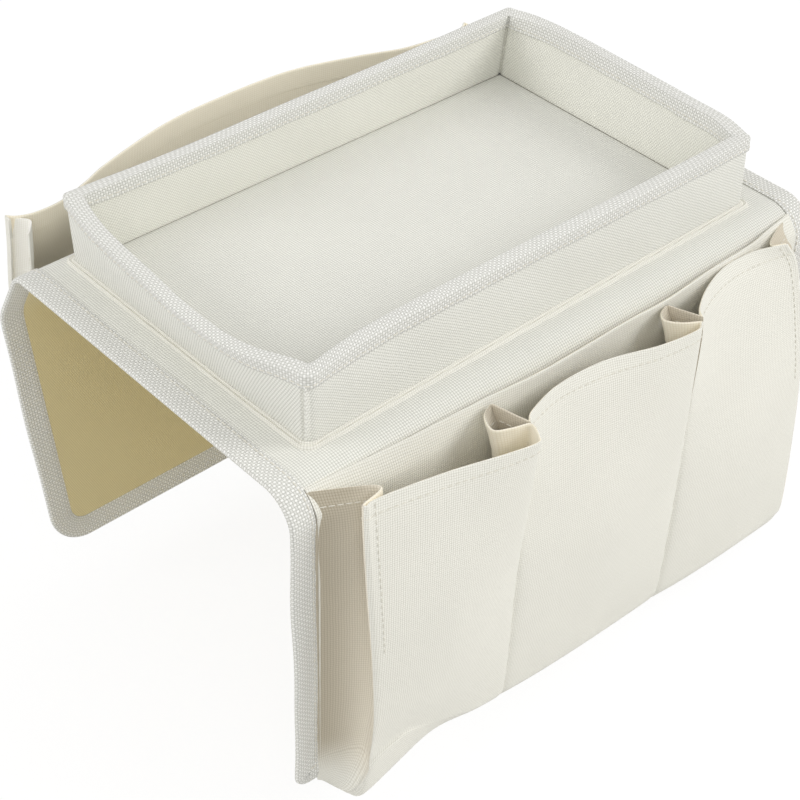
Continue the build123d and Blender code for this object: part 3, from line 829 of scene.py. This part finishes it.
def pouch_seam(name, seam, columns, rows):
    """Stitches along places of a pouch's grid, standing on its outer side."""
    grid = pouch_grids[name]
    normal = outward_normals(grid, NEARWARD)
    made = stitches(f"pouch_{name}_{seam}_stitches", grid[columns, rows], normal[columns, rows], thick=0.5)
    pouch_seams.append(made)


for name in pouch_grids:
    pouch_seam(name, "hem", slice(3, -3), 4)
for name, column in (("left", 6 * PART), ("right", 10 * PART)):
    pouch_seam(name, "ridge", column, slice(36))
print("pouch seams", len(pouch_seams))

# %% [markdown]
# ## The deep pocket on the far flap
# A single panel swells away from the flap, and a folded gusset closes each end. The panel stands out
# furthest in its middle, a little below its rim, because little holds it there.

# %% Deep pocket panel and gussets
DEEP_X = np.array([-161.5, -161.5, -160.2, -156.0, -147.0, -131.0, -112.0, -92.0, -46.0, -5.0,
                   43.0, 85.0, 110.0, 129.0, 147.0, 156.0, 160.2, 161.5, 161.5])
DEEP_RIM = np.array([136.8, 136.8, 136.8, 133.0, 130.0, 130.5, 137.0, 145.0, 157.0, 160.0,
                     158.0, 146.0, 136.5, 133.0, 131.0, 132.6, 135.4, 135.4, 135.4])
WRAP = np.array([4.6, 1.3, 0.0, *[0.0] * 13, 0.0, 1.3, 4.6])
round_swell = np.clip(1 - (DEEP_X / 166.0) ** 2, 0, 1) ** 0.8
RIM_AT, FULL_AT, FOOT_AT = 11.3, -44.0, -171.8
lower = [(level, ends + swell * round_swell) for level, ends, swell in (
    (FULL_AT, 142.0, 21.0), (-76.0, 137.0, 20.0), (-108.0, 129.4, 18.0), (-140.0, 118.0, 14.0),
    (-160.0, 107.0, 8.0), (FOOT_AT, flap_face("far", FOOT_AT) + 1.5, 0.5),
)]
DEEP_ROWS = [(RIM_AT, DEEP_RIM), (-6.0, DEEP_RIM * 0.75 + 0.25 * lower[0][1]), *lower]
spots = np.stack([
    np.stack([DEEP_X, y - WRAP * turned, np.full_like(DEEP_X, level)], -1)
    for (level, y), turned in zip(DEEP_ROWS, (1, 1, 1, 1, 1, 0.9, 0.5, 0.0))
])
wanted = np.concatenate([np.linspace(RIM_AT, -0.7, 7), np.linspace(-4.0, FOOT_AT, 44)])
deep_grid = surface(spots, rows_for(spots[:, 0, 2], wanted), np.linspace(0, len(DEEP_X) - 1, 145))
deep_pocket = hemmed("deep_pocket_panel", deep_grid, FARWARD, thick=0.9, hem_thick=0.6, hem_row=6)


END_AT, TUCK, OFF_FLAP, OFF_PANEL, START_AT_RIM = 160.2, 7.0, 0.6, 1.6, 117.0
OUT_SHARES = np.array([0.0, 0.26, 0.5, 0.74, 1.0])
TUCK_SHARES = np.array([0.0, 0.6, 1.0, 0.6, 0.0])


def gusset(name, side):
    """A folded end: out from the flap, tucked in towards the pocket, and out to the panel. Above the
    level where the panel is fullest, its inner edge leaves the flap and runs straight to the rim."""
    rows = []
    for level, y in DEEP_ROWS:
        panel = (y[2] if side < 0 else y[-3]) - OFF_PANEL
        start = flap_face("far", min(level, FULL_AT)) + OFF_FLAP
        if level > FULL_AT:
            start = np.interp(level, (FULL_AT, RIM_AT), (start, START_AT_RIM))
        reach = max(panel - start, 0.4)
        x = side * (END_AT - TUCK_SHARES * min(TUCK, reach / 2))
        rows.append(np.stack([x, start + reach * OUT_SHARES, np.full(5, level - 0.6)], -1))
    spots = np.array(rows)
    levels = spots[:, 0, 2]
    grid = surface(spots, rows_for(levels, np.linspace(levels[0], levels[-1], 48)), np.linspace(0, 4, 33))
    normal = outward_normals(grid, (side, 0, 0))
    flat = uncut(lengths(grid[:, 10]), lengths(grid[12]))
    widths = np.linalg.norm(np.diff(grid, axis=1), axis=-1).sum(axis=1)
    tall = lengths(grid[:, 16])[-1]
    cut = {"flat": (tall * MM, widths.max() * MM), "area": tall * widths.mean() * MM * MM}
    return ply(name, grid, grid - normal * 0.9, flat), cut


gussets = {
    name: gusset(f"deep_pocket_gusset_{name}", side) for name, side in (("left", -1.0), ("right", 1.0))
}
print("deep pocket", len(deep_pocket.data.polygons))

# %% [markdown]
# ## Cloth finishes
# All the cloth is plain weave: each yarn passes over one and under the next. Two sine waves make the round
# tops of the yarns, and the sign of their product says which one is on top. The pattern reads the cloth's
# own flat coordinates, so it bends with the piece. An image of cloth would be quicker, but this one stays
# sharp at any distance.

# %% Weave material
def node(tree, kind, inputs=(), take=0, **settings):
    """Add a node, set its options and fill its sockets with values or links. It gives back the node's
    output that take names, by its place or its name."""
    made = tree.nodes.new(kind)
    for key, value in settings.items():
        setattr(made, key, value)
    for socket, value in dict(inputs).items():
        if isinstance(value, bpy.types.NodeSocket):
            tree.links.new(value, made.inputs[socket])
        else:
            made.inputs[socket].default_value = value
    return made.outputs[take] if made.outputs else None


def maths(tree, operation, *values):
    """One step of arithmetic."""
    return node(tree, "ShaderNodeMath", dict(enumerate(values)), operation=operation)


def blank_material(name):
    """A new material and its emptied node tree."""
    material = bpy.data.materials.new(name)
    material.use_nodes = True
    material.node_tree.nodes.clear()
    return material, material.node_tree


def blend_colour(tree, factor, at_0, at_1):
    """One colour where the factor is 0, another where it is 1, and a mixture between."""
    sockets = {"Factor": factor, "A": at_0, "B": at_1}
    return node(tree, "ShaderNodeMix", sockets, take="Result", data_type="RGBA")


def srgb(red, green, blue):
    """A colour as the eye sees it, 0 to 255, to the linear numbers and the alpha a shader needs."""
    share = np.array([red, green, blue]) / 255
    return (*np.where(share <= 0.04045, share / 12.92, ((share + 0.055) / 1.055) ** 2.4), 1.0)


def weave(name, light, dark, pitch, depth, turn=0.0, rib=0.0, dots=0.0, fades=()):
    """Plain weave with yarns pitch mm apart, turned by turn degrees, and bumps depth mm deep. rib darkens
    the gaps beside the yarns that run down the cloth, which gives it fine upright lines, and dots darkens
    every second crossing, as where a thick white yarn floats over a thin one. Each of fades is (axis, low,
    high, light, dark): below low on that axis of the frame the cloth has the other pair of colours, above
    high its own."""
    material, tree = blank_material(name)
    add, calc = partial(node, tree), partial(maths, tree)
    uv = add("ShaderNodeUVMap", uv_map="cloth")
    angle = float(np.radians(turn))
    turned = add("ShaderNodeVectorRotate", {"Vector": uv, "Angle": angle}, rotation_type="Z_AXIS")
    wobble = add("ShaderNodeTexNoise", {"Vector": turned, "Scale": 90.0, "Detail": 1.0}, take="Color")
    centred = add("ShaderNodeVectorMath", {0: wobble, 1: (0.5, 0.5, 0.5)}, operation="SUBTRACT")
    small = add("ShaderNodeVectorMath", {0: centred, "Scale": 0.0008}, operation="SCALE")
    place = add("ShaderNodeVectorMath", {0: turned, 1: small}, operation="ADD")
    axes = [add("ShaderNodeSeparateXYZ", {0: place}, take=k) for k in (0, 1)]
    wave_u, wave_v = (calc("SINE", calc("MULTIPLY", axis, np.pi / (pitch * MM))) for axis in axes)
    over = calc("MULTIPLY", wave_u, wave_v)
    over = add("ShaderNodeMapRange", {"Value": over, "From Min": -0.12, "From Max": 0.12})
    top_u, top_v = (calc("POWER", calc("ABSOLUTE", wave), 0.7) for wave in (wave_u, wave_v))
    bump_u = calc("MULTIPLY", top_u, calc("MULTIPLY_ADD", top_v, 0.45, 0.55))
    bump_v = calc("MULTIPLY", top_v, calc("MULTIPLY_ADD", top_u, 0.45, 0.55))
    height = add("ShaderNodeMix", {"Factor": over, "A": bump_v, "B": bump_u})
    patch = add("ShaderNodeTexNoise", {"Vector": uv, "Scale": 14.0, "Detail": 3.0})
    patch = add("ShaderNodeMapRange", {
        "Value": patch, "From Min": 0.3, "From Max": 0.7, "To Min": 0.975, "To Max": 1.015,
    })
    shade = add("ShaderNodeMapRange", {"Value": height, "From Min": 0.12, "From Max": 0.85})
    shade = calc("MULTIPLY", shade, calc("MULTIPLY_ADD", top_u, rib, 1.0 - rib))
    shade = calc("MULTIPLY", shade, calc("MULTIPLY_ADD", over, dots, 1.0 - dots))
    tint = blend_colour(tree, shade, dark, light)
    for axis, low, high, fade_light, fade_dark in fades:
        spot = add("ShaderNodeSeparateXYZ", {0: add("ShaderNodeTexCoord", take="Object")}, take=axis)
        above = add("ShaderNodeMapRange", {"Value": spot, "From Min": low, "From Max": high},
                    interpolation_type="SMOOTHSTEP")
        tint = blend_colour(tree, above, blend_colour(tree, shade, fade_dark, fade_light), tint)
    colour = add("ShaderNodeVectorMath", {0: tint, "Scale": patch}, operation="SCALE")
    bump = add("ShaderNodeBump", {"Height": height, "Strength": 0.8, "Distance": depth * MM})
    shader = add("ShaderNodeBsdfPrincipled", {
        "Base Color": colour, "Roughness": 0.82, "Sheen Weight": 0.2, "Sheen Roughness": 0.5,
        "Specular IOR Level": 0.2, "Normal": bump,
    })
    add("ShaderNodeOutputMaterial", {"Surface": shader})
    return material


UP, OUT_FROM_ARM = 2, 1
YARN, GAP = srgb(243, 243, 237), srgb(205, 205, 197)
IVORY = (srgb(244, 243, 235), srgb(216, 214, 203))
OXFORD = weave("oxford_off_white", YARN, GAP, 1.4, 0.24, rib=0.55)
OXFORD_WALL = weave("oxford_off_white_bias", YARN, GAP, 1.4, 0.24, turn=32.0, rib=0.45)
OXFORD_FRONT = weave("oxford_ivory", *IVORY, 1.2, 0.2, turn=4.0, rib=0.2)
OXFORD_INSIDE = weave("oxford_inside", srgb(242, 242, 234), srgb(212, 211, 202), 1.4, 0.2,
                      turn=-38.0, rib=0.3)
TAPE = weave("binding_tape_white", srgb(250, 250, 247), srgb(196, 196, 189), 1.45, 0.36, dots=0.44)
# Painted shade on the pouch gussets: they are the same ivory cloth as the pouch fronts, given a darker tan as
# painted shade for the recesses beside the fronts. AT_FOOT brings them back to the fronts' ivory at the foot,
# where the painted shade ends.
AT_FOOT = (UP, -0.192, -0.160, *IVORY)
# SHADE_EASES_AT_EDGE grades the left gusset's painted shade: darkest beside the flap, lighter towards the
# outer corner.
SHADE_EASES_AT_EDGE = (OUT_FROM_ARM, -0.134, -0.119, srgb(238, 232, 218), srgb(214, 206, 189))
GUSSET_PAINTED_SHADE = weave("gusset_painted_shade", srgb(217, 209, 192), srgb(192, 182, 162), 1.3, 0.16, rib=0.3, fades=[AT_FOOT])
# The left pouch's gusset has deeper painted shade, for the recess behind the flap's edge.
GUSSET_LEFT_PAINTED_SHADE = weave("gusset_left_painted_shade", srgb(192, 184, 166), srgb(166, 156, 137), 1.3, 0.16, rib=0.3,
                    fades=[SHADE_EASES_AT_EDGE, AT_FOOT])
# Painted light: the deep pocket's gussets are the panel's ivory cloth, set lighter so that they look lit in
# their shaded folds.
BELLOWS_PAINTED_LIGHT = weave("bellows_ivory_painted_light", srgb(253, 252, 247), srgb(240, 238, 229), 1.2, 0.12, turn=4.0, rib=0.1)
BACKING = weave("backing_beige", srgb(250, 244, 227), srgb(238, 229, 208), 1.3, 0.08,
                fades=[(UP, -0.188, -0.182, *IVORY)])
LINING = weave("lining_khaki", srgb(230, 218, 173), srgb(209, 195, 151), 1.1, 0.1, turn=24.0, rib=0.5)
THREAD = weave("sewing_thread", srgb(250, 249, 244), srgb(226, 223, 212), 0.5, 0.05)
print("finishes", [material.name for material in bpy.data.materials])


# %% Stiffener board material
def board_finish():
    """Matte grey board with a fine grain, read from object coordinates."""
    material, tree = blank_material("stiffener_grey")
    spot = node(tree, "ShaderNodeTexCoord", take="Object")
    grain = node(tree, "ShaderNodeTexNoise", {"Vector": spot, "Scale": 900.0, "Detail": 4.0})
    tint = blend_colour(tree, grain, srgb(150, 146, 136), srgb(186, 182, 170))
    bump = node(tree, "ShaderNodeBump", {"Height": grain, "Strength": 0.4, "Distance": 0.0002})
    shader = node(tree, "ShaderNodeBsdfPrincipled", {"Base Color": tint, "Roughness": 0.7, "Normal": bump})
    node(tree, "ShaderNodeOutputMaterial", {"Surface": shader})
    return material


BOARD = board_finish()

# %% [markdown]
# ## Which body carries each piece
# Each piece gets its finish. The tray, the pockets and their stitches ride on the body that really carries
# them, and the saddle's own cloths, tapes and stitches keep their place in the frame. A piece that stands for
# a solid of the imported model hides it.

# %% Boards of the leaning walls
BOARD_FACES = (1.2, 4.6)
boards = {}
level = np.linspace(TRAY_BASE, 42.0, 9)[None, :]
# The long boards run past their sides by three ring points, and the short ones fit between them.
for name, past in (("near", 3), ("far", 3), ("left", -2), ("right", -2)):
    pick = np.arange(SIDES[name][0] - past, SIDES[name][-1] + 1 + past)
    outer_side, inner_side = (wall_point(depth, level)[pick] for depth in BOARD_FACES)
    flat = uncut(lengths(outer_side[:, 0]), level[0])
    boards[name] = ply(f"wall_board_{name}", outer_side, inner_side, flat)
    boards[name].data.materials.append(BOARD)
    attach(boards[name], "saddle")
    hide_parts(f"tray_wall_board_{name}")
floor_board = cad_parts["tray_floor_board"].data
floor_board.materials.clear()
floor_board.materials.append(BOARD)


# %% Materials, bodies and replaced solids
def dress(piece, materials, body=None, replaces=()):
    """Give a piece its finishes and its body, or bake its placing into its mesh, and hide the solids it
    replaces.
    """
    for material in materials:
        piece.data.materials.append(material)
    if body:
        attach(piece, body)
    else:
        bend(piece)
    if replaces:
        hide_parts(*replaces)


for side in LINES:
    parts = ("saddle_top", f"{side}_bend", f"{side}_flap")
    for piece, finish, slot, ending in (
        (face[side], OXFORD, "oxford_cloth", "cloth"), (lining[side], LINING, "lining_cloth", "lining"),
        (binding[side], TAPE, "binding_tape", "binding"),
    ):
        dress(piece, [finish], replaces=[f"{part}_{ending}" for part in parts])
    size = (2 * (SADDLE_HALF - FACE_PLY[0]) * MM, DROP[side] * MM)
for side, seam in threads.items():
    dress(seam, [THREAD])

for piece, finish, slot, replaced in (
    (outer_wall, OXFORD_WALL, "oxford_cloth", ["tray_outer_wall_cloth"]),
    (inner_wall, OXFORD_INSIDE, "oxford_cloth", ["tray_inner_wall_cloth"]),
    (rim_tape, TAPE, "binding_tape", ["tray_rim_binding"]),
    (base_seam, OXFORD_FRONT, "oxford_cloth", ["tray_base_flange"]),
    (floor_cloth, OXFORD, "oxford_cloth", ["tray_floor_cloth"]),
    (rim_out_seam, THREAD, "binding_tape", []),
    (rim_in_seam, THREAD, "binding_tape", []),
    (base_stitches, THREAD, "oxford_cloth", []),
):
    dress(piece, [finish], "saddle", replaces=replaced)
dress(wide_pocket, [OXFORD_FRONT, BACKING], "near_flap",
      replaces=["tablet_pocket_panel", "tablet_pocket_hem"])
HEM = 12


def cut_size(grid, column, row):
    """Width along one row of a panel, and height along one column with its hem, as metres."""
    return lengths(grid[:, row])[-1] * MM, (lengths(grid[column])[-1] + HEM) * MM


for name, piece in pouches.items():
    # Finish 2, the gussets, is the ivory cloth with painted shade.
    finishes = [OXFORD_FRONT, BACKING, GUSSET_LEFT_PAINTED_SHADE if name == "left" else GUSSET_PAINTED_SHADE]
    dress(piece, finishes, "near_flap", replaces=[f"organizer_pocket_{name}"])
    size = cut_size(pouch_grids[name], PARTS * PART // 2, 40)
    print(name, "pouch cut", np.round(size, 3))
for seam in pouch_seams:
    dress(seam, [THREAD], "near_flap")
dress(deep_pocket, [OXFORD_FRONT, BACKING], "far_flap",
      replaces=["magazine_pocket_panel", "magazine_pocket_hem"])
for name, (piece, cut) in gussets.items():
    dress(piece, [BELLOWS_PAINTED_LIGHT], "far_flap", replaces=[f"magazine_pocket_gusset_{name}"])

# %% [markdown]
# ## Stage, light and camera
# The floor is plain and pale. The camera and clear reflections see it as white, and every other ray sees its
# real colour, so the shadow stays and no extra light reaches the object. The light comes from four soft
# boxes and an even world. The front one reaches into the pleats that the camera looks into.

# %% Floor, world and lamps
def clear_sight(tree):
    """1 for the camera's own rays and for clear reflections, 0 for the light that falls on things."""
    kinds = ("Is Camera Ray", "Is Glossy Ray", "Is Transmission Ray")
    seen, shiny, through = (node(tree, "ShaderNodeLightPath", take=kind) for kind in kinds)
    return maths(tree, "MAXIMUM", seen, maths(tree, "MAXIMUM", shiny, through))


STAGE_LEVEL = -0.212
floor_mesh = bpy.data.meshes.new("stage_floor")
corners = [(x, y, STAGE_LEVEL) for x, y in ((-9, -9), (9, -9), (9, 9), (-9, 9))]
floor_mesh.from_pydata(corners, [], [(0, 1, 2, 3)])
linked("stage_floor", floor_mesh)
material, tree = blank_material("stage_white")
matte = node(tree, "ShaderNodeBsdfDiffuse", {"Color": (0.8, 0.8, 0.79, 1.0)})
faint = node(tree, "ShaderNodeBsdfDiffuse", {"Color": (0.17, 0.17, 0.17, 1.0)})
glow = node(tree, "ShaderNodeEmission", {"Color": (1.0, 1.0, 1.0, 1.0), "Strength": 0.86})
shown = node(tree, "ShaderNodeAddShader", {0: faint, 1: glow})
mixed = node(tree, "ShaderNodeMixShader", {0: clear_sight(tree), 1: matte, 2: shown})
node(tree, "ShaderNodeOutputMaterial", {"Surface": mixed})
floor_mesh.materials.append(material)

world = bpy.context.scene.world or bpy.data.worlds.new("studio")
bpy.context.scene.world = world
world.use_nodes = True
tree = world.node_tree
tree.nodes.clear()
light = node(tree, "ShaderNodeBackground", {"Color": (1.0, 0.995, 0.985, 1.0), "Strength": 0.60})
white = node(tree, "ShaderNodeBackground", {"Color": (1.0, 1.0, 1.0, 1.0), "Strength": 1.0})
mixed = node(tree, "ShaderNodeMixShader", {0: clear_sight(tree), 1: light, 2: white})
node(tree, "ShaderNodeOutputWorld", {"Surface": mixed})


def soft_box(name, place, target, size, power):
    """A square area lamp that faces a target."""
    lamp = bpy.data.lights.new(name, "AREA")
    lamp.shape, lamp.size, lamp.energy = "SQUARE", size, power
    lamp.color = (1.0, 0.99, 0.97)
    holder = linked(name, lamp)
    holder.location = place
    holder.rotation_euler = (Vector(target) - Vector(place)).to_track_quat("-Z", "Y").to_euler()


soft_box("soft_box_right", (1.7, -1.5, 1.3), (0, 0, 0), 1.2, 28.0)
soft_box("soft_box_left", (-1.7, 0.9, 1.0), (0, 0, 0.02), 1.0, 12.5)
soft_box("soft_box_top", (0.1, 0.5, 1.7), (0, 0, 0), 1.2, 2.0)
soft_box("soft_box_front", (-0.95, -0.95, 0.95), (0, 0, 0), 1.0, 4.2)

# %% Camera at the photograph's viewing angle
CAMERA = {"azimuth": -0.749, "elevation": 0.703, "roll": 0.030, "distance": 0.8264, "lens": 80.62}
TARGET = Vector((-0.09625, -0.09461, 0.0023))
azimuth, elevation, roll = CAMERA["azimuth"], CAMERA["elevation"], CAMERA["roll"]
back = Vector((np.sin(azimuth) * np.cos(elevation), -np.cos(azimuth) * np.cos(elevation), np.sin(elevation)))
right = (-back).cross(Vector((0, 0, 1))).normalized()
above = right.cross(-back)
tilted_right = np.cos(roll) * right + np.sin(roll) * above
tilted_up = -np.sin(roll) * right + np.cos(roll) * above
camera_data = bpy.data.cameras.new("camera")
camera_data.lens, camera_data.sensor_width = CAMERA["lens"], 36.0
camera = linked("camera", camera_data)
rotation = Matrix((tilted_right, tilted_up, back)).transposed().to_4x4()
camera.matrix_world = Matrix.Translation(TARGET + back * CAMERA["distance"]) @ rotation
bpy.context.scene.camera = camera
bpy.context.scene.view_settings.view_transform = "Standard"
print("camera at", np.round(camera.matrix_world.translation, 3))
